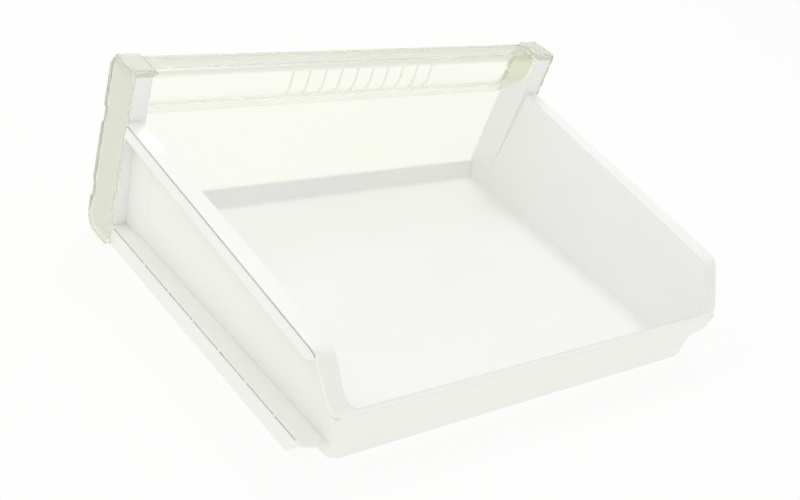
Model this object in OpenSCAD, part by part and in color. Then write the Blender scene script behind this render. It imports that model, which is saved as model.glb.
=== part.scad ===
// Freezer drawer: a white open tray whose side walls slope down to a low rear wall, and a clear
// front cover with a grip channel along its top that clips over the tray's front frame.
// Millimetres. X runs across the drawer, the front faces -Y and Z is up.
// The origin is under the middle of the drawer, level with its lowest edge.

// Which piece to show

/* [Overall] */
// Depth from the rear lip to the front of the cover's side beads
overall_d = 295; // [240:1:360]
// Width across the cover at the height of its grip ledge
front_w = 430; // [380:1:480]
// Height of the cover's grip ledge above the lowest edge
ledge_top = 141.5; // [125:0.5:170]

/* [Tray] */
// Distance on each side from the overall width to the edge of the tray's underside at the rear
tray_side_in = 29.5; // [22:0.5:40]
// Height of the tray's underside above the lowest edge
floor_level = 3.6; // [2:0.1:10]
// Thickness of the floor
floor_t = 2.4; // [1.8:0.1:4]
// Thickness of the walls
wall_t = 2.4; // [1.8:0.1:4]
// Lean of the side and rear walls from upright, in degrees
wall_draft = 6.5; // [2:0.1:9]
// Widening of the tray toward the front on each side, in degrees
side_taper = 1.15; // [0:0.05:3]
// Plan radius of the rear corners at the underside
rear_corner_r = 8; // [7:0.5:20]
// Plan radius of the rear corners inside, at the floor
inner_corner_r = 4; // [3:0.5:15]
// Radius of the rounded lower outside edge
edge_r = 3; // [1:0.1:6]
// Radius between the floor and the walls inside
floor_r = 1.2; // [0.6:0.1:4]
// Distance from the rear lip's edge to the foot of the rear wall
rear_foot_in = 5.6; // [3:0.1:12]

/* [Rim] */
// Height of the top of the rear lip above the lowest edge
lip_h = 47.8; // [35:0.5:70]
// Height of the rim where the sloping rear edges begin
rim_rear_h = 83.3; // [65:0.1:95]
// Height of the rim where it meets the front frame
rim_front_h = 104.7; // [95:0.1:120]
// Distance from the rear lip's edge to the top of the sloping rear edges
slant_run = 27; // [15:0.5:45]
// Thickness of the rim flange
flange_t = 2; // [1.5:0.1:3]
// Distance on each side from the overall width to the rim's edge at the front frame
rim_front_in = 2.2; // [1:0.1:8]
// Distance on each side from the overall width to the rim's edge above the sloping rear edges
rim_rear_in = 6.6; // [3:0.1:12]
// Distance on each side from the overall width to the rim's edge at the rear lip
rim_lip_in = 15.4; // [10:0.1:22]
// Plan radius of the rim at the rear lip's corners
rim_corner_r = 13; // [5:0.5:20]
// Radius of the rim in side view at the top of the sloping rear edges
rim_turn_r = 13; // [4:0.5:20]
// Drop of the side skirts below the top of the rim
skirt_drop = 11.2; // [8:0.1:18]
// Thickness of the skirts
skirt_t = 2.6; // [1.5:0.1:3]
// How far the rim's edge stands out over its skirt
skirt_in = 0.5; // [0.3:0.1:3]
// Radius of the skirts' lower rear corners
skirt_r = 9; // [2:0.5:12]
// Thickness of the lip above the grooves along the edges of the rim and the runners
groove_lip = 0.6; // [0.4:0.1:1]
// Height of the grooves along the edges of the rim and the runners
groove_h = 1.7; // [0.8:0.1:2.5]
// Drop of the corner wings below the top of the rear lip
wing_drop = 16.5; // [8:0.5:25]

/* [Runners] */
// Distance on each side from the overall width to the runner's edge
runner_in = 9.8; // [6:0.1:16]
// Height of the runner's top face above the lowest edge
runner_h = 16.9; // [12:0.1:24]
// Height of the runner's lower edge above the lowest edge
runner_foot = 1.8; // [0.5:0.1:4]
// Distance from the rear lip's edge to the rear end of the runner's top face
runner_rear = 13.5; // [8:0.5:40]
// Extra distance to the rear end of the runner's lower edge
runner_slant = 13; // [4:0.5:25]
// Thickness of the gussets under the runners
gusset_t = 1.8; // [1.2:0.1:2.5]
// Number of gussets under each runner
gusset_n = 6; // [2:1:9]
// Distance from the rear end of the runner's top face to the rearmost gusset
gusset_rear = 31; // [18:0.5:45]
// Distance from the front frame to the foremost gusset
gusset_front = 50.5; // [10:0.5:60]

/* [Front frame] */
// Depth of the front frame, from the rear face of its posts to the front of the cover's beads
frame_d = 30; // [24:0.5:45]
// Distance on each side from the overall width to a post's inner face, at its foot and rear
post_w = 26; // [20:0.5:34]
// Lean of the posts' inner faces across the drawer, per millimetre of height
post_lean = 0.072; // [0:0.001:0.1]
// Turn of the posts' inner faces toward the middle, in degrees
post_turn = 4.5; // [0:0.1:15]
// Outward turn of each side wall where it runs into its post, in degrees
flare_turn = 5; // [2:0.5:20]
// Length of the turned part of each side wall
flare_run = 24; // [12:0.5:40]
// Thickness of the walls of the hollow posts
post_t = 2.2; // [1.6:0.1:3]
// Number of webs inside each post
post_web_n = 4; // [1:1:8]
// Height of the sill at the foot of the front opening
sill_h = 21.5; // [12:0.5:35]
// Depth over which the sill rises
sill_run = 5.5; // [2:0.1:12]

/* [Cover] */
// Thickness of the clear cover
cover_t = 2.3; // [1.8:0.1:3.5]
// Gap between the cover and the frame that it clips over
fit_gap = 0.25; // [0.1:0.05:0.6]
// Narrowing of the cover toward its foot, per millimetre of height on each side
cover_lean = 0.05; // [0:0.001:0.08]
// How far the side beads stand out from the cover
bead = 2.2; // [1.2:0.1:4]
// Width of the side beads
bead_w = 6.5; // [4:0.1:12]
// Radius of the cover's lower front edge
cover_foot_r = 10; // [6:0.5:16]
// Height where the lower gap between the side beads is centred
bead_gap_low = 32; // [25:1:45]
// Drop from the grip ledge to where the upper gap between the side beads is centred
bead_gap_drop = 46.5; // [35:0.5:55]
// Height of the gaps between the side beads
bead_gap_h = 13; // [6:0.5:20]
// How far the corner caps stand above the grip ledge
cap_rise = 4; // [2:0.1:6]
// Width of the corner caps
cap_w = 18.5; // [15:0.5:26]
// Height of the lip that hooks behind the top of each post
cap_lip_h = 5.2; // [3:0.1:10]
// Thickness of the parts of the cover that reach behind the posts
hook_t = 1.8; // [1.2:0.1:3]

/* [Grip] */
// How far the grip channel stands back from the cover's front face
grip_depth = 25.6; // [18:0.1:32]
// Radius of the channel's rounded back
grip_r = 20; // [12:0.5:26]
// Drop from the grip ledge to where the channel's sloping foot meets the panel's inner face
grip_drop = 47; // [44:0.5:55]
// Radius of the channel's upper rear edge
grip_top_r = 7.5; // [4:0.5:10]
// Height of the lip that hangs from the front of the grip ledge
grip_lip_h = 7.5; // [4:0.5:12]
// Number of ribs on the grip channel
rib_n = 10; // [4:1:16]
// Spacing of the ribs
rib_pitch = 16; // [10:0.5:24]
// Width of a rib
rib_w = 1.4; // [0.8:0.1:2.5]
// Height of a rib above the channel
rib_h = 1.1; // [0.6:0.1:2]

/* [Hidden] */
$fn = 96;
far = 600;
half_w = front_w / 2;
tray_half = half_w - tray_side_in;
rim_front_half = half_w - rim_front_in;
rim_rear_half = half_w - rim_rear_in;
rim_lip_half = half_w - rim_lip_in;
runner_half = half_w - runner_in;
post_in = half_w - post_w;
grip_foot_z = ledge_top - grip_drop;
bead_gap_z = [bead_gap_low, ledge_top - bead_gap_drop];
dt = tan(wall_draft);
inset = wall_t / cos(wall_draft);
inner_r = inner_corner_r + inset;
core_top = rim_front_h + 20;
core_lap = 20;
corner_out = 0.02;
post_rear = overall_d - frame_d;
rim_end = post_rear + 1.5;
cover_front = overall_d - bead;
panel_back = cover_front - cover_t;
frame_front = panel_back - fit_gap;
cover_foot = bead;
cover_rear = post_rear - fit_gap - hook_t;
cap_top = ledge_top + cap_rise;
cap_rear_in = half_w - cap_w;
post_foot = cover_foot + cover_t + fit_gap;
post_top = cap_top - cover_t - fit_gap;
grip_back = cover_front - grip_depth;
rim_slope = (rim_front_h - rim_rear_h) / (post_rear - slant_run);
rim_spread = (rim_front_half - rim_rear_half) / (post_rear - slant_run);
slant_slope = (rim_rear_h - lip_h + flange_t) / slant_run;
flange_shift = flange_t * (sqrt(1 + slant_slope * slant_slope) - 1) / slant_slope;
post_foot_r = cover_foot_r - cover_t - fit_gap;
floor_half = max(post_in + 1, tray_half + rim_end * tan(side_taper));
foot_gap_half = floor_half + 2 * fit_gap;
sill_back = frame_front - wall_t - sill_run;
groove_end = cover_rear - 3 * fit_gap;
groove_in = skirt_in + 0.65 * skirt_t;
rim_turn_y = slant_run + 4;
gusset_y0 = runner_rear + gusset_rear;
gusset_gap = (post_rear - gusset_front - gusset_y0) / (gusset_n - 1);

// Height of the rim at a distance from the rear lip
function rim_z(y) = rim_rear_h + rim_slope * (y - slant_run);

// Half width of the rim flange at a distance from the rear lip
function rim_x(y) = rim_rear_half + rim_spread * (y - slant_run);

// Half width of the cover's outer face at a height
function cover_x(z) = half_w - cover_lean * (ledge_top - z);

// Half width of the posts' outer face at a height
function post_x(z) = cover_x(z) - cover_t - fit_gap;

// Distances along the two edges of a corner where its rounding begins
function unit(v) = v / norm(v);
function half_angle(a, b, c) = acos(max(-1, min(1, unit(a - b) * unit(c - b)))) / 2;
function turn(a, b, c) = (b[0] - a[0]) * (c[1] - b[1]) - (b[1] - a[1]) * (c[0] - b[0]);
function cut_len(a, b, c, r) = r / tan(half_angle(a, b, c));
function cut_a(a, b, c, r) = b + unit(a - b) * cut_len(a, b, c, r);
function cut_c(a, b, c, r) = b + unit(c - b) * cut_len(a, b, c, r);
function arc_centre(a, b, c, r) = b + unit(unit(a - b) + unit(c - b)) * r / sin(half_angle(a, b, c));

// Part of the circle that rounds one corner. The circle stands a hair's breadth over the corner's
// two sides, so that it crosses them.
module corner_arc(a, b, c, r) {
    centre = arc_centre(a, b, c, r);
    proud = 0.001 * r + 0.002;
    reach = 2 * sqrt(2 * r * proud);
    from = cut_a(a, b, c, r) + unit(a - b) * reach;
    to = cut_c(a, b, c, r) + unit(c - b) * reach;
    intersection() {
        translate(centre)
            circle(r + proud);
        polygon([
            centre,
            centre + (from - centre) * 1.5,
            centre + (b - centre) * 2,
            centre + (to - centre) * 1.5
        ]);
    }
}

// A polygon listed anticlockwise with a true arc of its own radius at each corner
module round_poly(p, r) {
    n = len(p);
    difference() {
        union() {
            polygon([
                for (i = [0 : n - 1])
                    for (k = r[i] > 0 ? [0, 1] : [2])
                        k == 2 ? p[i]
                        : k == 0 ? cut_a(p[(i + n - 1) % n], p[i], p[(i + 1) % n], r[i])
                        : cut_c(p[(i + n - 1) % n], p[i], p[(i + 1) % n], r[i])
            ]);
            for (i = [0 : n - 1])
                if (r[i] > 0 && turn(p[(i + n - 1) % n], p[i], p[(i + 1) % n]) > 0)
                    corner_arc(p[(i + n - 1) % n], p[i], p[(i + 1) % n], r[i]);
        }
        for (i = [0 : n - 1])
            if (r[i] > 0 && turn(p[(i + n - 1) % n], p[i], p[(i + 1) % n]) < 0)
                corner_arc(p[(i + n - 1) % n], p[i], p[(i + 1) % n], r[i]);
    }
}

// Draws a side view of distance from the rear and height, across the drawer from x0 to x1
module along_x(x0, x1) {
    translate([x0, 0, 0])
        rotate([90, 0, 90])
            linear_extrude(x1 - x0)
                children();
}

// Draws a front view of half width and height, from y0 to y1 behind the front
module along_y(y0, y1) {
    translate([0, y1, 0])
        rotate([90, 0, 0])
            linear_extrude(y1 - y0)
                children();
}

// Repeats a part on both sides
module both() {
    children();
    mirror([1, 0, 0])
        children();
}

// Turns the drawer so that its front faces -Y
module place() {
    rotate([0, 0, 180])
        translate([0, -overall_d / 2, 0])
            children();
}

// Section of the tray's leaning wall above height z0, from back behind its corner's middle out to
// its face
module wall_section(t, z0, r, rc, back) {
    x0 = rc + (z0 - floor_level) * dt - t;
    x1 = rc + (core_top - floor_level) * dt - t;
    round_poly([[-back, 0], [x0, 0], [x1, core_top - z0], [-back, core_top - z0]], [0, r, 0, 0]);
}

// Solid bounded by the tray's leaning walls, drawn in by t and starting at height z0, with corners
// whose radius at the underside would be rc before they are drawn in. The corners stand out a
// hair's breadth over the walls, so that the two surfaces cross.
module tray_core(t, z0, r, rc) {
    core_x = tray_half - rc;
    core_y = rear_foot_in + rc;
    translate([0, 0, z0]) {
        both() {
            translate([core_x + corner_out, core_y - corner_out, 0])
                rotate([0, 0, 135])
                    rotate_extrude()
                        wall_section(t, z0, r, rc, 0);
            translate([core_x, core_y, 0])
                rotate([0, 0, -side_taper])
                    along_y(0, far)
                        wall_section(t, z0, r, rc, core_x + core_lap);
        }
        along_x(-core_x, core_x)
            translate([core_y, 0])
                mirror([1, 0])
                    wall_section(t, z0, r, rc, core_lap);
    }
}

// The tray's inside
module tray_inside() {
    tray_core(inset, floor_level + floor_t, floor_r, inner_r);
}

// Side view of everything below the rim line, run on by extra at the front
module below_rim(extra) {
    join_y = slant_run * flange_t / (rim_rear_h - lip_h + flange_t);
    end_y = rim_end + extra;
    round_poly(
        [
            [-20, -10],
            [end_y, -10],
            [end_y, rim_z(end_y)],
            [slant_run, rim_rear_h],
            [join_y, lip_h],
            [-20, lip_h]
        ],
        [0, 0, 0, rim_turn_r, 6, 0]
    );
}

// Plan of the rim flange's outer edge
module rim_plan() {
    a = rim_x(rim_end);
    b = rim_x(rim_turn_y);
    c = rim_lip_half;
    round_poly(
        [[-c, 0], [c, 0], [b, rim_turn_y], [a, rim_end], [-a, rim_end], [-b, rim_turn_y]],
        [rim_corner_r, rim_corner_r, 30, 0, 0, 30]
    );
}

// Floor, side walls and rear wall
module tray_shell() {
    difference() {
        intersection() {
            tray_core(0, floor_level, edge_r, rear_corner_r);
            along_x(-far, far)
                below_rim(0);
        }
        tray_inside();
    }
}

// The flange that runs along both sides, down the sloping rear edges and along the rear wall
module rim_flange() {
    difference() {
        intersection() {
            along_x(-far, far)
                below_rim(0);
            linear_extrude(far)
                rim_plan();
        }
        along_x(-far, far)
            translate([flange_shift, -flange_t])
                below_rim(10);
        tray_inside();
    }
}

// Skirt that hangs below the flange on one side, set in from its edge
module rim_skirt() {
    low_y = slant_run + 4;
    toe_y = slant_run - 2.5;
    x_lip = rim_lip_half - skirt_in;
    x_turn = rim_x(rim_turn_y) - skirt_in;
    x_end = rim_x(rim_end) - skirt_in;
    intersection() {
        along_x(0, far)
            round_poly(
                [
                    [rim_end, rim_z(rim_end) - skirt_drop],
                    [rim_end, rim_z(rim_end) - flange_t / 2],
                    [slant_run, rim_rear_h - flange_t / 2],
                    [toe_y, rim_rear_h - flange_t - 2.5 * slant_slope],
                    [low_y, rim_z(low_y) - skirt_drop]
                ],
                [0, 0, 0, 0, skirt_r]
            );
        linear_extrude(far)
            polygon([
                [x_lip - skirt_t, 0],
                [x_lip, 0],
                [x_turn, rim_turn_y],
                [x_end, rim_end],
                [x_end - skirt_t, rim_end],
                [x_turn - skirt_t, rim_turn_y]
            ]);
    }
}

// Narrow groove just below the edge of the rim on one side, cut into the top of its skirt
module rim_groove() {
    groove_y = slant_run - 1.5;
    lip_spread = (rim_x(rim_turn_y) - rim_lip_half) / rim_turn_y;
    difference() {
        intersection() {
            along_x(0, far)
                translate([flange_shift * groove_lip / flange_t, -groove_lip])
                    below_rim(10);
            linear_extrude(far)
                polygon([
                    [rim_lip_half + lip_spread * groove_y - groove_in, groove_y],
                    [far, groove_y],
                    [far, groove_end],
                    [rim_x(groove_end) - groove_in, groove_end],
                    [rim_x(rim_turn_y) - groove_in, rim_turn_y]
                ]);
        }
        along_x(-1, far + 1)
            translate([flange_shift * (groove_lip + groove_h) / flange_t, -groove_lip - groove_h])
                below_rim(20);
    }
}

// Wing in line with the rear wall that carries one rear corner of the rim
module corner_wing() {
    low_z = lip_h - wing_drop;
    tip_x = rim_lip_half - 1.2;
    slab = wall_t;
    difference() {
        intersection() {
            along_x(tray_half - rear_corner_r, tip_x)
                polygon([
                    [rear_foot_in - (low_z - 2 - floor_level) * dt, low_z - 2],
                    [rear_foot_in - (low_z - 2 - floor_level) * dt + slab, low_z - 2],
                    [rear_foot_in - (lip_h - 1 - floor_level) * dt + slab, lip_h - 1],
                    [rear_foot_in - (lip_h - 1 - floor_level) * dt, lip_h - 1]
                ]);
            along_y(-5, 40)
                round_poly(
                    [
                        [tray_half - 20, low_z],
                        [tip_x - 3, low_z],
                        [tip_x, lip_h - 3],
                        [tip_x, lip_h],
                        [tray_half - 20, lip_h]
                    ],
                    [0, 5, 0, 0, 0]
                );
        }
        tray_inside();
    }
}

// Runner on one side: a flat ledge with a skirt below its edge
module runner() {
    ledge_z = runner_h - flange_t;
    skirt_x = runner_half - skirt_in;
    difference() {
        translate([0, 0, ledge_z])
            linear_extrude(flange_t)
                polygon([
                    [tray_half - 12, rim_end],
                    [tray_half - 12, runner_rear - 4],
                    [runner_half - 21, runner_rear - 4],
                    [runner_half - 8, runner_rear - 1.5],
                    [runner_half, runner_rear + 1],
                    [runner_half, rim_end]
                ]);
        tray_inside();
    }
    along_x(skirt_x - skirt_t, skirt_x)
        round_poly(
            [
                [runner_rear + runner_slant, runner_foot],
                [rim_end, runner_foot],
                [rim_end, ledge_z + flange_t / 2],
                [runner_rear + 2, ledge_z + flange_t / 2]
            ],
            [2.5, 0, 0, 0]
        );
    difference() {
        for (i = [0 : gusset_n - 1])
            translate([tray_half - 5, gusset_y0 + i * gusset_gap, floor_level + 1])
                cube([skirt_x - skirt_t / 2 - tray_half + 5, gusset_t, ledge_z - floor_level]);
        tray_core(wall_t / 2, floor_level - 5, 0, rear_corner_r);
    }
}

// Narrow groove just below the edge of one runner, bridged in line with each gusset
module runner_groove() {
    groove_y = runner_rear + 7;
    bridge_x = runner_half - groove_in - 1;
    difference() {
        translate([runner_half - groove_in, groove_y, runner_h - groove_lip - groove_h])
            cube([far, groove_end - groove_y, groove_h]);
        for (i = [0 : gusset_n - 1])
            translate([bridge_x, gusset_y0 + i * gusset_gap, 0])
                cube([2 * far, gusset_t, runner_h]);
    }
}

// Space inward of one post's inner face, drawn in by t
module post_inner_cut(t) {
    translate([post_in + post_lean * (post_foot - floor_level), post_rear, post_foot])
        rotate([0, 0, post_turn])
            along_y(-100, 120)
                polygon([
                    [-3 * post_in, -20],
                    [t - 20 * post_lean, -20],
                    [t + 2 * ledge_top * post_lean, 2 * ledge_top],
                    [-3 * post_in, 2 * ledge_top]
                ]);
}

// Space between the two posts, made smaller by t on each side
module between_posts(t) {
    intersection() {
        post_inner_cut(-t);
        mirror([1, 0, 0])
            post_inner_cut(-t);
    }
}

// Front view of a post's outer line, drawn in by t
module post_outer(t, z0, z1) {
    polygon([
        [post_in - 20, z0],
        [post_x(z0) - t, z0],
        [post_x(z1) - t, z1],
        [post_in - 20, z1]
    ]);
}

// Side view of a post, with the foot rounded as the cover is
module post_side() {
    round_poly(
        [
            [post_rear, post_foot],
            [frame_front, post_foot],
            [frame_front, post_top],
            [post_rear, post_top]
        ],
        [0, post_foot_r, 0, 0]
    );
}

// Side view of the hollow of a post, which is open at the front above the rounded foot
module post_hollow_side() {
    back = post_rear + post_t;
    front = frame_front - post_t;
    low = post_foot + post_t;
    high = post_top - post_t;
    open_z = post_foot + post_foot_r;
    round_poly(
        [
            [back, low],
            [front, low],
            [front, open_z],
            [frame_front + 5, open_z],
            [frame_front + 5, high],
            [back, high]
        ],
        [0, post_foot_r - post_t, 0, 0, 0, 0]
    );
}

// Hollow post on one side of the front frame, open toward the cover
module post() {
    clear_h = post_top - post_foot - 2 * post_t;
    web = clear_h / (post_web_n + 1);
    difference() {
        intersection() {
            along_y(post_rear - 1, frame_front + 1)
                post_outer(0, post_foot - 1, post_top + 1);
            along_x(0, far)
                post_side();
        }
        post_inner_cut(0);
        difference() {
            intersection() {
                along_y(post_rear, frame_front + 10)
                    post_outer(post_t, post_foot, post_top);
                along_x(0, far)
                    post_hollow_side();
            }
            post_inner_cut(post_t);
            for (i = [1 : post_web_n])
                translate([post_in - 20, post_rear, post_foot + post_t + i * web])
                    cube([60, far, post_t * 0.8]);
        }
    }
}

// Outward flare that joins a side wall to its post
module flare() {
    top = rim_front_h - 6;
    difference() {
        intersection() {
            translate([0, 0, runner_h - 1])
                linear_extrude(top - runner_h)
                    polygon([
                        [post_in - 6, post_rear - flare_run],
                        [post_x(runner_h) + 10, post_rear - flare_run],
                        [post_x(runner_h) + 10, post_rear + 1],
                        [post_in - 6, post_rear + 1]
                    ]);
            translate([tray_half - rear_corner_r, rear_foot_in + rear_corner_r, 0])
                rotate([0, 0, -side_taper])
                    translate([rear_corner_r, post_rear - rear_foot_in - rear_corner_r - flare_run, 0])
                        rotate([0, 0, -flare_turn])
                            along_y(-2, flare_run + 16)
                                polygon([
                                    [-20, floor_level],
                                    [0, floor_level],
                                    [(core_top - floor_level) * dt, core_top],
                                    [-20, core_top]
                                ]);
        }
        tray_inside();
    }
}

// Floor in front of the posts' rear faces and the low sill at the foot of the opening
module sill() {
    side = post_in + 1;
    along_x(-side, side)
        round_poly(
            [
                [post_rear - 1, floor_level],
                [sill_back, floor_level],
                [sill_back + wall_t, floor_level + 1.2],
                [frame_front, sill_h - 0.5],
                [frame_front, sill_h],
                [frame_front - wall_t, sill_h],
                [sill_back, floor_level + floor_t],
                [post_rear - 1, floor_level + floor_t]
            ],
            [0, 0, 0, 0, 0.4, 0.4, 3, 0]
        );
}

// Space taken by one side of the cover, with its gap
module cheek_room() {
    along_y(cover_rear - fit_gap, far)
        polygon([
            [post_x(-20), -20],
            [far, -20],
            [far, cap_top + 20],
            [post_x(cap_top + 20), cap_top + 20]
        ]);
}

// Space taken by the part of the cover that reaches under one post, with its gap
module foot_room() {
    translate([foot_gap_half - fit_gap, cover_rear - fit_gap, post_foot - far])
        cube(far);
}

// The whole white tray
module drawer_body() {
    color([0.96, 0.97, 0.95])
        place()
            difference() {
                union() {
                    tray_shell();
                    rim_flange();
                    both() {
                        rim_skirt();
                        corner_wing();
                        runner();
                        post();
                        flare();
                    }
                    sill();
                }
                both() {
                    cheek_room();
                    foot_room();
                    rim_groove();
                    runner_groove();
                }
            }
}

// Side view of the cover's outside, or of its inside, which is drawn in by t and open at the rear
module cover_side(t) {
    back = cover_rear - 2 * t;
    round_poly(
        [
            [back, cover_foot + t],
            [cover_front - t, cover_foot + t],
            [cover_front - t, ledge_top - t],
            [back, ledge_top - t]
        ],
        [0, cover_foot_r - t, t > 0 ? 0 : 2, 0]
    );
}

// Front view of the cover's outside, drawn in by t
module cover_front_view(t, z0, z1) {
    polygon([
        [-cover_x(z0) + t, z0],
        [cover_x(z0) - t, z0],
        [cover_x(z1) - t, z1],
        [-cover_x(z1) + t, z1]
    ]);
}

// Side view of the grip channel's back, filled to the front face
module grip_outer() {
    round_poly(
        [
            [panel_back, grip_foot_z - 8],
            [cover_front, grip_foot_z - 8],
            [cover_front, ledge_top],
            [grip_back, ledge_top],
            [grip_back, grip_foot_z + (panel_back - grip_back)],
            [panel_back, grip_foot_z]
        ],
        [0, 0, 2, grip_top_r, grip_r, 3]
    );
}

// Side view of the recess for the fingers
module grip_recess() {
    t = cover_t;
    foot = grip_foot_z + (panel_back - grip_back) + t * (sqrt(2) - 1);
    round_poly(
        [
            [grip_back + t, foot],
            [cover_front + 0.5, foot - (cover_front + 0.5 - grip_back - t)],
            [cover_front + 10, foot - (cover_front + 0.5 - grip_back - t)],
            [cover_front + 10, ledge_top - grip_lip_h],
            [cover_front - t, ledge_top - grip_lip_h],
            [cover_front - t, ledge_top - t],
            [grip_back + t, ledge_top - t]
        ],
        [grip_r - t, 0, 0, 0, 0.5, 0.5, grip_top_r - t]
    );
}

// One rib that follows the hollow of the channel
module grip_rib() {
    intersection() {
        along_x(-rib_w / 2, rib_w / 2)
            difference() {
                grip_recess();
                translate([rib_h, rib_h * 0.4])
                    grip_recess();
                translate([cover_front - 9, 0])
                    square([far, far]);
                translate([0, ledge_top - cover_t - 3])
                    square([far, far]);
            }
        translate([-5, 0, grip_foot_z])
            cube([10, far, ledge_top - grip_foot_z - 1]);
    }
}

// Room for one post inside the cover
module post_room() {
    difference() {
        along_y(cover_rear + hook_t, frame_front + fit_gap)
            polygon([
                [post_in - 20, -10],
                [post_x(-10) + fit_gap, -10],
                [post_x(cap_top - cover_t) + fit_gap, cap_top - cover_t],
                [post_in - 20, cap_top - cover_t]
            ]);
        post_inner_cut(-fit_gap);
    }
}

// Cap over the top of one post, with a lip that hooks behind it
module corner_cap() {
    difference() {
        intersection() {
            along_y(cover_rear, cover_front - 2)
                polygon([
                    [cap_rear_in, cap_top - cap_lip_h],
                    [cover_x(cap_top - cap_lip_h), cap_top - cap_lip_h],
                    [cover_x(ledge_top) - 0.1, ledge_top + 0.5],
                    [cover_x(ledge_top) - 1.5, cap_top],
                    [cap_rear_in + 1.5, cap_top],
                    [cap_rear_in, cap_top - 1.5]
                ]);
            along_x(0, far)
                round_poly(
                    [
                        [cover_rear, cap_top - cap_lip_h],
                        [cover_front - 2, cap_top - cap_lip_h],
                        [cover_front - 2, cap_top],
                        [cover_rear, cap_top]
                    ],
                    [0, 0, 3, 1.5]
                );
        }
        post_room();
    }
}

// Beads along the side edges of the cover, in three lengths on each side
module side_beads() {
    difference() {
        intersection() {
            along_x(-far, far)
                difference() {
                    round_poly(
                        [
                            [cover_rear, cover_foot - bead],
                            [cover_front + bead, cover_foot - bead],
                            [cover_front + bead, ledge_top - 4],
                            [cover_rear, ledge_top - 4]
                        ],
                        [0, cover_foot_r + bead, 2, 0]
                    );
                    round_poly(
                        [
                            [cover_rear - 5, cover_foot + 0.4],
                            [cover_front - 0.4, cover_foot + 0.4],
                            [cover_front - 0.4, far],
                            [cover_rear - 5, far]
                        ],
                        [0, cover_foot_r - 0.4, 0, 0]
                    );
                    for (z = bead_gap_z)
                        translate([cover_front - 30, z - bead_gap_h / 2])
                            square([60, bead_gap_h]);
                    polygon([
                        [cover_rear - 5, -5],
                        [cover_rear + 4, -5],
                        [cover_rear, cover_foot],
                        [cover_rear - 5, cover_foot]
                    ]);
                }
            along_y(0, far)
                cover_front_view(0, -5, ledge_top);
        }
        along_y(-1, far)
            cover_front_view(bead_w, -20, ledge_top + 20);
    }
}

// The whole clear cover
module front_cover() {
    color([0.93, 0.94, 0.86, 0.6])
        place()
            union() {
                difference() {
                    union() {
                        difference() {
                            intersection() {
                                along_x(-far, far)
                                    cover_side(0);
                                along_y(0, far)
                                    cover_front_view(0, 0, cap_top);
                            }
                            intersection() {
                                along_x(-far, far)
                                    cover_side(cover_t);
                                along_y(0, far)
                                    cover_front_view(cover_t, 0, cap_top);
                            }
                            intersection() {
                                along_x(-far, far)
                                    translate([-20, cover_t])
                                        square([cover_front - cover_t + 20, far]);
                                along_y(0, far)
                                    cover_front_view(cover_t, cover_foot + cover_foot_r, ledge_top + 30);
                            }
                            translate([-foot_gap_half, 0, -5])
                                cube([2 * foot_gap_half, frame_front - 4, 20]);
                        }
                        intersection() {
                            along_x(-far, far)
                                grip_outer();
                            between_posts(fit_gap);
                        }
                        both()
                            corner_cap();
                    }
                    intersection() {
                        along_x(-far, far)
                            grip_recess();
                        between_posts(fit_gap + cover_t);
                    }
                }
                side_beads();
                for (i = [0 : rib_n - 1])
                    translate([(i - (rib_n - 1) / 2) * rib_pitch, 0, 0])
                        grip_rib();
            }
}

drawer_body();
front_cover();
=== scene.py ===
import math

import bpy
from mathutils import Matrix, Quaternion, Vector

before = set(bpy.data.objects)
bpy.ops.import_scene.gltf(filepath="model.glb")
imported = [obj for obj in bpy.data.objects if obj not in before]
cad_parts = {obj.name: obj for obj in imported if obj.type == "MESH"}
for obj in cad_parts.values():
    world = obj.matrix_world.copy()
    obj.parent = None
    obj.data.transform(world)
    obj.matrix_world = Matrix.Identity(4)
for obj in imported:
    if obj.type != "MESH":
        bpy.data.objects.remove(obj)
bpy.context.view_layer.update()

# Lengths are in metres. Colours are linear red, green, blue and alpha.

# Camera, measured from the photograph: place, direction, tilt of the horizon and lens.
CAMERA_AT = (0.65843, 0.55111, 0.52074)
CAMERA_LOOK = (-0.65573, -0.57243, -0.49228)
CAMERA_ROLL = math.radians(19.675)
CAMERA_LENS = 56.76
SENSOR_WIDTH = 36.0
CLIP_NEAR = 0.01
CLIP_FAR = 50.0

# Floor and sky. Seen directly, both are nearly white. Bounced light gets its own levels.
FLOOR_HALF = 6.0
FLOOR_DROP = 0.0004
FLOOR_TONE = (0.95, 0.95, 0.91, 1.0)
FLOOR_GLOW = 0.85
FLOOR_BOUNCE = 0.75
BOUNCE_LEVEL = 1.06
SEEN_LEVEL = 1.0
SKY_TONE = (1.0, 1.0, 1.0, 1.0)
SKY_STRENGTH = 0.72

# Lamps: place, power in watts and width. All point at the middle of the drawer.
LAMPS = {
    "key_light": ((-0.50, -0.80, 1.80), 7.2, 0.55),
    "fill_light": ((1.2, -0.75, 1.5), 3.8, 0.7),
    "back_light": ((1.0, 1.1, 1.4), 3.4, 1.0),
}
LAMP_TARGET = (0.0, 0.0, 0.05)

# Noises: scale, detail and roughness.
WHITE_CLOUD = (9.0, 3.0, 0.55)
WHITE_GRAIN = (1100.0, 2.0, 0.6)
CLEAR_CLOUD = (14.0, 3.0, 0.55)
CLEAR_GRAIN = (900.0, 2.0, 0.6)
STREAKS = (900.0, 1.0, 0.4)
STREAK_PLACES = (16.0, 2.0, 0.6)
FLOW_WOBBLE = (5.0, 2.0, 0.5)
NO_STRETCH = (1.0, 1.0, 1.0)

# Ranges of the noises that are used, from low to high.
CLOUD_RANGE = (0.1, 0.9)
STREAK_RANGE = (0.60, 0.75)
STREAK_PLACE_RANGE = (0.45, 0.75)
WAVE_RANGE = (-1.0, 1.0)

# White moulding: slow change of tone, and a painted warm tint of bounce light on the faces that
# look outward.
WHITE_LOW = (0.912, 0.918, 0.893, 1.0)
WHITE_HIGH = (0.946, 0.951, 0.934, 1.0)
PAINTED_BOUNCE_TINT = (0.985, 0.99, 0.935, 1.0)
PAINTED_BOUNCE_SHARE = 0.9
OUTWARD_RANGE = (0.0, 0.4)
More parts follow.
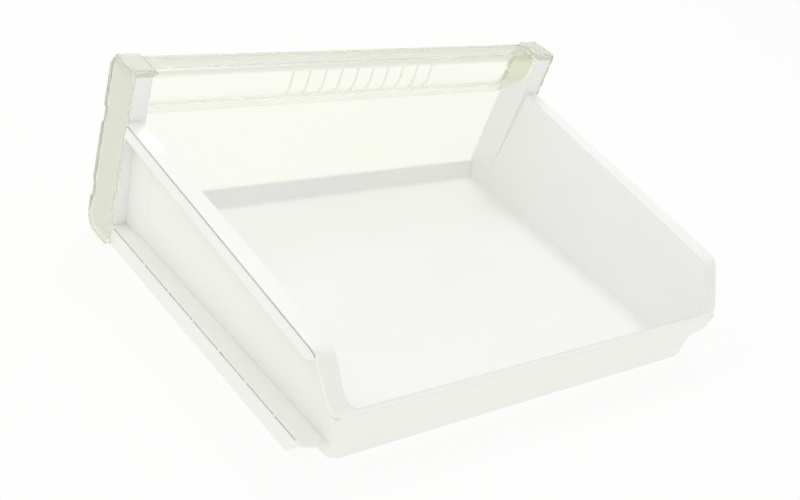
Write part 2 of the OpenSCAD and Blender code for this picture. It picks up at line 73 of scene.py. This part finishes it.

# White moulding: painted shade, darker in narrow grooves.
GROOVE_SHADE_TONE = (0.40, 0.40, 0.37, 1.0)
GROOVE_SHADE_REACH = 0.0035
GROOVE_SHADE_SAMPLES = 8
GROOVE_SHADE_RANGE = (0.08, 0.36)
GROOVE_SHADE_SHARE = (0.75, 0.0)

# White moulding: rubbed edges, rougher from wear and painted lighter as a painted highlight.
EDGE_HIGHLIGHT_TONE = (0.965, 0.968, 0.955, 1.0)
EDGE_HIGHLIGHT_SHARE = 0.45
RUBBED_ROUGH = 0.08
WEAR_AND_HIGHLIGHT_WIDTH = 0.0012
WEAR_AND_HIGHLIGHT_SAMPLES = 6
WEAR_AND_HIGHLIGHT_RANGE = (0.995, 0.90)

# White moulding: gloss, flow marks and the light that enters the plastic.
WHITE_ROUGH = (0.14, 0.24)
WHITE_IOR = 1.49
FLOW_ROUGH = 0.05
FLOW_BEND = 0.09
FLOW_RINGS = 260.0
INNER_LIGHT = 0.1
INNER_TINT = (1.0, 1.0, 0.8)
INNER_REACH = 0.001

# Clear moulding: tones of the clear wall, and of the cheeks and of the ledge with the caps,
# which are darkened by painted shade.
CLEAR_LOW = (0.975, 0.980, 0.910, 1.0)
CLEAR_HIGH = (0.995, 0.998, 0.950, 1.0)
CHEEK_SHADE_TONE = (0.86, 0.865, 0.815, 1.0)
LEDGE_SHADE_TONE = (0.81, 0.815, 0.755, 1.0)

# Clear moulding: it has a light frost beyond this distance from the middle plane,
# and above this height.
FROST_SIDE = 0.2035
FROST_TOP = 0.1375
FROST_FADE = 0.0012
FROST_ROUGH = 0.10
FROST_CLEAR = (0.985, 0.86)

# Clear moulding: gloss, hairline scratches, what passes straight through, and depth of colour.
CLEAR_ROUGH = (0.09, 0.17)
CLEAR_IOR = 1.38
SCRATCH_ROUGH = 0.05
SCRATCH_STRETCH = (0.02, 1.0, 1.0)
THROUGH_TONE = (0.96, 0.965, 0.94, 1.0)
DEPTH_TONE = (0.80, 0.81, 0.50, 1.0)
DEPTH_DENSITY = 12.0

# Beyond this many bounces a ray goes straight through the clear moulding,
# so that its edges don't turn black.
DEEPEST_RAY = 3.5

# Both mouldings: fine grain, and the rounding of edges in the shading.
GRAIN_STRENGTH = 0.05
GRAIN_HEIGHT = 0.0003
WHITE_EDGE = 0.0005
CLEAR_EDGE = 0.0004
EDGE_SAMPLES = 4


class Nodes:
    """Adds nodes to the tree of one material or world and links them."""

    def __init__(self, owner):
        owner.use_nodes = True
        self.owner = owner
        self.tree = owner.node_tree
        self.tree.nodes.clear()

    def add(self, kind, inputs=None, **settings):
        node = self.tree.nodes.new(kind)
        for key, value in settings.items():
            setattr(node, key, value)
        for key, value in (inputs or {}).items():
            self.put(node.inputs[key], value)
        return node

    def put(self, socket, value):
        if isinstance(value, bpy.types.NodeSocket):
            self.tree.links.new(value, socket)
        else:
            socket.default_value = value

    def noise(self, where, scale, detail, rough, stretch=NO_STRETCH):
        mapped = self.add("ShaderNodeMapping", {"Vector": where, "Scale": stretch})
        made = self.add("ShaderNodeTexNoise", {
            "Vector": mapped.outputs["Vector"],
            "Scale": scale,
            "Detail": detail,
            "Roughness": rough,
        })
        return made.outputs["Fac"]

    def span(self, value, low, high, to_low=0.0, to_high=1.0):
        made = self.add("ShaderNodeMapRange", {
            "Value": value,
            "From Min": low,
            "From Max": high,
            "To Min": to_low,
            "To Max": to_high,
        })
        return made.outputs["Result"]

    def math(self, operation, first, second=0.0):
        made = self.add("ShaderNodeMath", operation=operation)
        self.put(made.inputs[0], first)
        self.put(made.inputs[1], second)
        return made.outputs["Value"]

    def vector(self, operation, first, second=None):
        inputs = {0: first}
        if second is not None:
            inputs[1] = second
        return self.add("ShaderNodeVectorMath", inputs, operation=operation).outputs

    def mix(self, amount, first, second, blend_type="MIX"):
        made = self.add("ShaderNodeMix", data_type="RGBA", blend_type=blend_type)
        self.put(made.inputs["Factor"], amount)
        self.put(made.inputs["A"], first)
        self.put(made.inputs["B"], second)
        return made.outputs["Result"]

    def mix_shaders(self, amount, first, second):
        made = self.add("ShaderNodeMixShader")
        self.put(made.inputs[0], amount)
        self.put(made.inputs[1], first)
        self.put(made.inputs[2], second)
        return made.outputs[0]


def outward(n):
    """1 where the surface faces away from the drawer's middle, 0 where it faces the middle."""
    coords = n.add("ShaderNodeTexCoord").outputs
    flat_spot = n.vector("MULTIPLY", coords["Object"], (1.0, 1.0, 0.0))
    away = n.vector("NORMALIZE", flat_spot[0])
    turned = n.vector("DOT_PRODUCT", away[0], coords["Normal"])
    return n.span(turned["Value"], *OUTWARD_RANGE)


def scratches(n, where):
    """Sparse hair-thin scratches along the cover."""
    streaks = n.noise(where, *STREAKS, SCRATCH_STRETCH)
    places = n.noise(where, *STREAK_PLACES)
    thin = n.span(streaks, *STREAK_RANGE)
    sparse = n.span(places, *STREAK_PLACE_RANGE)
    return n.math("MULTIPLY", thin, sparse)


def edges(n):
    """1 along the edges, where the surface is rubbed and gets a painted highlight, 0 on open
    faces.
    """
    wide = n.add("ShaderNodeBevel", {"Radius": WEAR_AND_HIGHLIGHT_WIDTH}, samples=WEAR_AND_HIGHLIGHT_SAMPLES)
    plain = n.add("ShaderNodeNewGeometry").outputs["Normal"]
    bend = n.vector("DOT_PRODUCT", wide.outputs[0], plain)
    return n.span(bend["Value"], *WEAR_AND_HIGHLIGHT_RANGE)


def flow_marks(n, where):
    """Faint wavy rings round the middle of the floor, where the mould was filled."""
    wobble = n.noise(where, *FLOW_WOBBLE)
    ring = n.vector("LENGTH", where)
    way = n.math("ADD", ring["Value"], n.math("MULTIPLY", wobble, FLOW_BEND))
    wave = n.math("SINE", n.math("MULTIPLY", way, FLOW_RINGS))
    return n.span(wave, *WAVE_RANGE)


def groove_shade(n):
    """How much painted shade the surface gets: high in narrow grooves, 0 on open faces."""
    hidden = n.add(
        "ShaderNodeAmbientOcclusion",
        {"Distance": GROOVE_SHADE_REACH},
        samples=GROOVE_SHADE_SAMPLES,
        only_local=True,
    )
    return n.span(hidden.outputs["AO"], *GROOVE_SHADE_RANGE, *GROOVE_SHADE_SHARE)


def grain_normal(n, grain, edge):
    """The surface's normal with fine grain and rounded edges."""
    rounded = n.add("ShaderNodeBevel", {"Radius": edge}, samples=EDGE_SAMPLES)
    bump = n.add("ShaderNodeBump", {
        "Height": grain,
        "Strength": GRAIN_STRENGTH,
        "Distance": GRAIN_HEIGHT,
        "Normal": rounded.outputs["Normal"],
    })
    return bump.outputs["Normal"]


def white_tone(n, cloud, rubbed_and_highlit):
    own_tone = n.mix(n.span(cloud, *CLOUD_RANGE), WHITE_LOW, WHITE_HIGH)
    # A painted warm tint of bounce light on the faces that look outward.
    painted_bounce = n.mix(PAINTED_BOUNCE_SHARE, own_tone, PAINTED_BOUNCE_TINT, "MULTIPLY")
    tone = n.mix(outward(n), own_tone, painted_bounce)
    # Painted shade darkens the narrow grooves.
    tone = n.mix(groove_shade(n), tone, GROOVE_SHADE_TONE)
    # Painted highlight: the edges are painted lighter.
    return n.mix(n.math("MULTIPLY", rubbed_and_highlit, EDGE_HIGHLIGHT_SHARE), tone, EDGE_HIGHLIGHT_TONE)


def white_gloss(n, where, cloud, rubbed_and_highlit):
    slow = n.span(cloud, *CLOUD_RANGE, *WHITE_ROUGH)
    flow = n.math("MULTIPLY", flow_marks(n, where), FLOW_ROUGH)
    worn = n.math("MULTIPLY", rubbed_and_highlit, RUBBED_ROUGH)
    return n.math("ADD", n.math("ADD", slow, flow), worn)


def white_plastic():
    n = Nodes(bpy.data.materials.new("white_moulding"))
    where = n.add("ShaderNodeTexCoord").outputs["Object"]
    cloud = n.noise(where, *WHITE_CLOUD)
    grain = n.noise(where, *WHITE_GRAIN)
    rubbed_and_highlit = edges(n)
    shader = n.add("ShaderNodeBsdfPrincipled", {
        "Base Color": white_tone(n, cloud, rubbed_and_highlit),
        "Roughness": white_gloss(n, where, cloud, rubbed_and_highlit),
        "IOR": WHITE_IOR,
        "Subsurface Weight": INNER_LIGHT,
        "Subsurface Radius": INNER_TINT,
        "Subsurface Scale": INNER_REACH,
        "Normal": grain_normal(n, grain, WHITE_EDGE),
    })
    n.add("ShaderNodeOutputMaterial", {"Surface": shader.outputs["BSDF"]})
    return n.owner


def frost_and_shade_masks(n, where):
    """Two masks, 1 on the cheeks and 1 on the ledge with the caps, and the higher of the two;
    they place the frost and the painted shade.
    """
    place = n.add("ShaderNodeSeparateXYZ", {"Vector": where}).outputs
    aside = n.math("ABSOLUTE", place["X"])
    outer = n.span(aside, FROST_SIDE - FROST_FADE, FROST_SIDE + FROST_FADE)
    upper = n.span(place["Z"], FROST_TOP - FROST_FADE, FROST_TOP + FROST_FADE)
    return outer, upper, n.math("MAXIMUM", outer, upper)


def clear_tone(n, cloud, outer, upper):
    tone = n.mix(n.span(cloud, *CLOUD_RANGE), CLEAR_LOW, CLEAR_HIGH)
    # The cheeks and the ledge are darkened by painted shade.
    tone = n.mix(outer, tone, CHEEK_SHADE_TONE)
    return n.mix(upper, tone, LEDGE_SHADE_TONE)


def clear_gloss(n, where, cloud, frost):
    slow = n.span(cloud, *CLOUD_RANGE, *CLEAR_ROUGH)
    dull = n.math("MULTIPLY", frost, FROST_ROUGH)
    scratched = n.math("MULTIPLY", scratches(n, where), SCRATCH_ROUGH)
    return n.math("ADD", n.math("ADD", slow, dull), scratched)


def straight_through(n):
    """1 for the rays that pass the clear moulding without bending, else 0."""
    path = n.add("ShaderNodeLightPath").outputs
    unseen = n.math("MAXIMUM", path["Is Shadow Ray"], path["Is Diffuse Ray"])
    deep = n.math("GREATER_THAN", path["Ray Depth"], DEEPEST_RAY)
    return n.math("MAXIMUM", unseen, deep)


def clear_plastic():
    n = Nodes(bpy.data.materials.new("clear_moulding"))
    where = n.add("ShaderNodeTexCoord").outputs["Object"]
    cloud = n.noise(where, *CLEAR_CLOUD)
    grain = n.noise(where, *CLEAR_GRAIN)
    outer, upper, frost = frost_and_shade_masks(n, where)
    shader = n.add("ShaderNodeBsdfPrincipled", {
        "Base Color": clear_tone(n, cloud, outer, upper),
        "Roughness": clear_gloss(n, where, cloud, frost),
        "IOR": CLEAR_IOR,
        "Transmission Weight": n.span(frost, 0.0, 1.0, *FROST_CLEAR),
        "Normal": grain_normal(n, grain, CLEAR_EDGE),
    })
    through = n.add("ShaderNodeBsdfTransparent", {"Color": THROUGH_TONE})
    surface = n.mix_shaders(straight_through(n), shader.outputs[0], through.outputs[0])
    depth = n.add("ShaderNodeVolumeAbsorption", {
        "Color": DEPTH_TONE,
        "Density": DEPTH_DENSITY,
    })
    n.add("ShaderNodeOutputMaterial", {
        "Surface": surface,
        "Volume": depth.outputs["Volume"],
    })
    return n.owner


def give(obj, material):
    slots = obj.data.materials
    for i in range(len(slots)):
        slots[i] = material
    if not slots:
        slots.append(material)


def show(name, data):
    made = bpy.data.objects.new(name, data)
    bpy.context.scene.collection.objects.link(made)
    return made


def aim(obj, at, direction, roll=0.0):
    obj.location = at
    obj.rotation_mode = "QUATERNION"
    turned = Vector(direction).to_track_quat("-Z", "Y")
    obj.rotation_quaternion = turned @ Quaternion((0.0, 0.0, 1.0), roll)


def camera():
    data = bpy.data.cameras.new("photo_camera")
    data.lens = CAMERA_LENS
    data.sensor_width = SENSOR_WIDTH
    data.clip_start = CLIP_NEAR
    data.clip_end = CLIP_FAR
    made = show("photo_camera", data)
    aim(made, CAMERA_AT, CAMERA_LOOK, CAMERA_ROLL)
    bpy.context.scene.camera = made


def lamp(name, at, power, size):
    data = bpy.data.lights.new(name, "AREA")
    data.shape = "SQUARE"
    data.size = size
    data.energy = power
    aim(show(name, data), at, Vector(LAMP_TARGET) - Vector(at))


def seen_directly(n):
    """1 for camera, glossy and transmission rays, else 0."""
    path = n.add("ShaderNodeLightPath").outputs
    first = n.math("MAXIMUM", path["Is Camera Ray"], path["Is Glossy Ray"])
    return n.math("MAXIMUM", first, path["Is Transmission Ray"])


def floor_material():
    n = Nodes(bpy.data.materials.new("studio_floor"))
    diffuse = n.add("ShaderNodeBsdfDiffuse", {"Color": FLOOR_TONE})
    seen = seen_directly(n)
    level = n.span(seen, 0.0, 1.0, BOUNCE_LEVEL, SEEN_LEVEL)
    white = n.add("ShaderNodeEmission", {"Color": SKY_TONE, "Strength": level})
    amount = n.span(seen, 0.0, 1.0, FLOOR_BOUNCE, FLOOR_GLOW)
    surface = n.mix_shaders(amount, diffuse.outputs[0], white.outputs[0])
    n.add("ShaderNodeOutputMaterial", {"Surface": surface})
    return n.owner


def floor():
    h = FLOOR_HALF
    mesh = bpy.data.meshes.new("studio_floor")
    corners = [(-h, -h, 0.0), (h, -h, 0.0), (h, h, 0.0), (-h, h, 0.0)]
    mesh.from_pydata(corners, [], [(0, 1, 2, 3)])
    mesh.materials.append(floor_material())
    made = show("studio_floor", mesh)
    made.location.z = -FLOOR_DROP


def sky():
    n = Nodes(bpy.data.worlds.new("studio_sky"))
    level = n.span(seen_directly(n), 0.0, 1.0, SKY_STRENGTH, SEEN_LEVEL)
    back = n.add("ShaderNodeBackground", {"Color": SKY_TONE, "Strength": level})
    n.add("ShaderNodeOutputWorld", {"Surface": back.outputs[0]})
    bpy.context.scene.world = n.owner


def studio():
    bpy.context.scene.view_settings.view_transform = "Standard"
    camera()
    sky()
    floor()
    for name, (at, power, size) in LAMPS.items():
        lamp(name, at, power, size)


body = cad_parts["drawer_body"]
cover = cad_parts["front_cover"]
give(body, white_plastic())
give(cover, clear_plastic())
studio()
